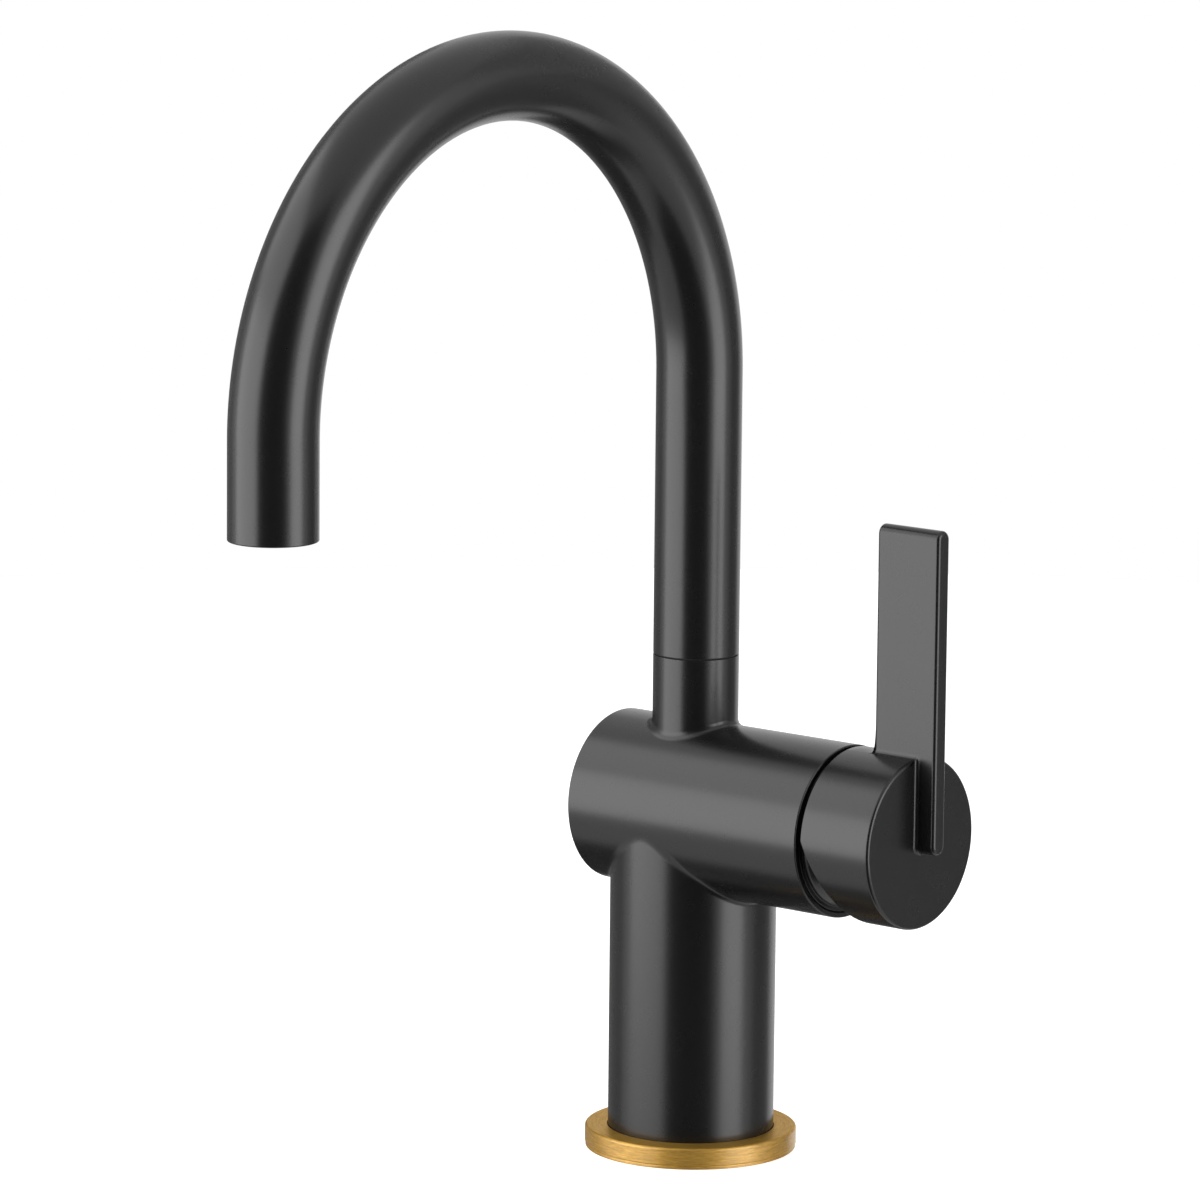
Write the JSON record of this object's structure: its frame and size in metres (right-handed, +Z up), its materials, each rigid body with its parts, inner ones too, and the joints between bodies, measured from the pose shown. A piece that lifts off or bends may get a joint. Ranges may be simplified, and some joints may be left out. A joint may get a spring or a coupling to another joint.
{
  "type": "gooseneck bar faucet",
  "caption": "Bar faucet with a tall swivelling gooseneck spout, a horizontal barrel on a round column, a flat side lever and a gold ring at its base.",
  "frame": {"origin": "where the column's axis meets the deck: the centre of the deck hole, at the underside of the base ring", "axes": "+Z up along the column; the spout points along -Y at rest; the barrel and its lever lie along +X"},
  "size_m": [0.1067, 0.2017, 0.2963],
  "materials": {
    "matte_black": "satin",
    "brushed_gold": "satin",
    "plain_brass": "satin",
    "copper_tube": "satin",
    "steel": "satin",
    "black_rubber": "matte",
    "white_ceramic": "satin",
    "grey_plastic": "matte",
    "white_plastic": "matte"
  },
  "bodies": {
    "base": {"deck_ring": "brushed_gold", "deck_gasket": "black_rubber", "base_insert": "plain_brass", "body_shell": "matte_black", "valve_body": "plain_brass", "hot_supply_tube": "copper_tube", "cold_supply_tube": "copper_tube", "hot_tube_collar": "steel", "cold_tube_collar": "steel", "swivel_post": "plain_brass", "post_foot_seal": "black_rubber", "lower_spout_seal": "black_rubber", "upper_spout_seal": "black_rubber", "spout_snap_ring": "steel", "spout_glide_washer": "black_rubber", "cartridge_base": "white_plastic", "hot_port_seal": "black_rubber", "cold_port_seal": "black_rubber", "mixed_port_seal": "black_rubber", "fixed_ceramic_disc": "white_ceramic", "cartridge_housing": "grey_plastic", "cartridge_nut": "plain_brass", "bonnet_seal": "black_rubber", "bonnet": "matte_black"},
    "spout": {"spout_tube": "matte_black", "spout_bushing": "white_plastic", "aerator_sleeve": "plain_brass", "aerator_housing": "grey_plastic", "aerator_screen": "steel", "aerator_core": "white_plastic", "aerator_washer": "black_rubber"},
    "stem_guide": {"stem_guide": "grey_plastic", "stem_pin": "steel"},
    "ceramic_disc": {"moving_ceramic_disc": "white_ceramic", "disc_slider": "grey_plastic"},
    "handle": {"handle": "matte_black", "control_stem": "steel", "handle_set_screw": "steel", "set_screw_plug": "black_rubber"}
  },
  "joints": [
    {"name": "spout_swivel", "type": "hinge", "parent": "base", "child": "spout", "pos_m": [0, 0, 0.1304], "axis": [0, 0, 1], "continuous": true},
    {"name": "temperature", "type": "hinge", "parent": "base", "child": "stem_guide", "pos_m": [0.042, 0, 0.0903], "axis": [1, 0, 0], "range_deg": [-45, 45]},
    {"name": "flow", "type": "hinge", "parent": "stem_guide", "child": "handle", "pos_m": [0.042, 0, 0.0903], "axis": [0, 1, 0], "range_deg": [0, 22]},
    {"name": "disc_travel", "type": "slide", "parent": "stem_guide", "child": "ceramic_disc", "axis": [0, 0, 1], "range_m": [0, 0.005]}
  ],
  "couplings": [
    {"joint": "disc_travel", "follows": "flow", "m_per_rad": 0.013}
  ]
}
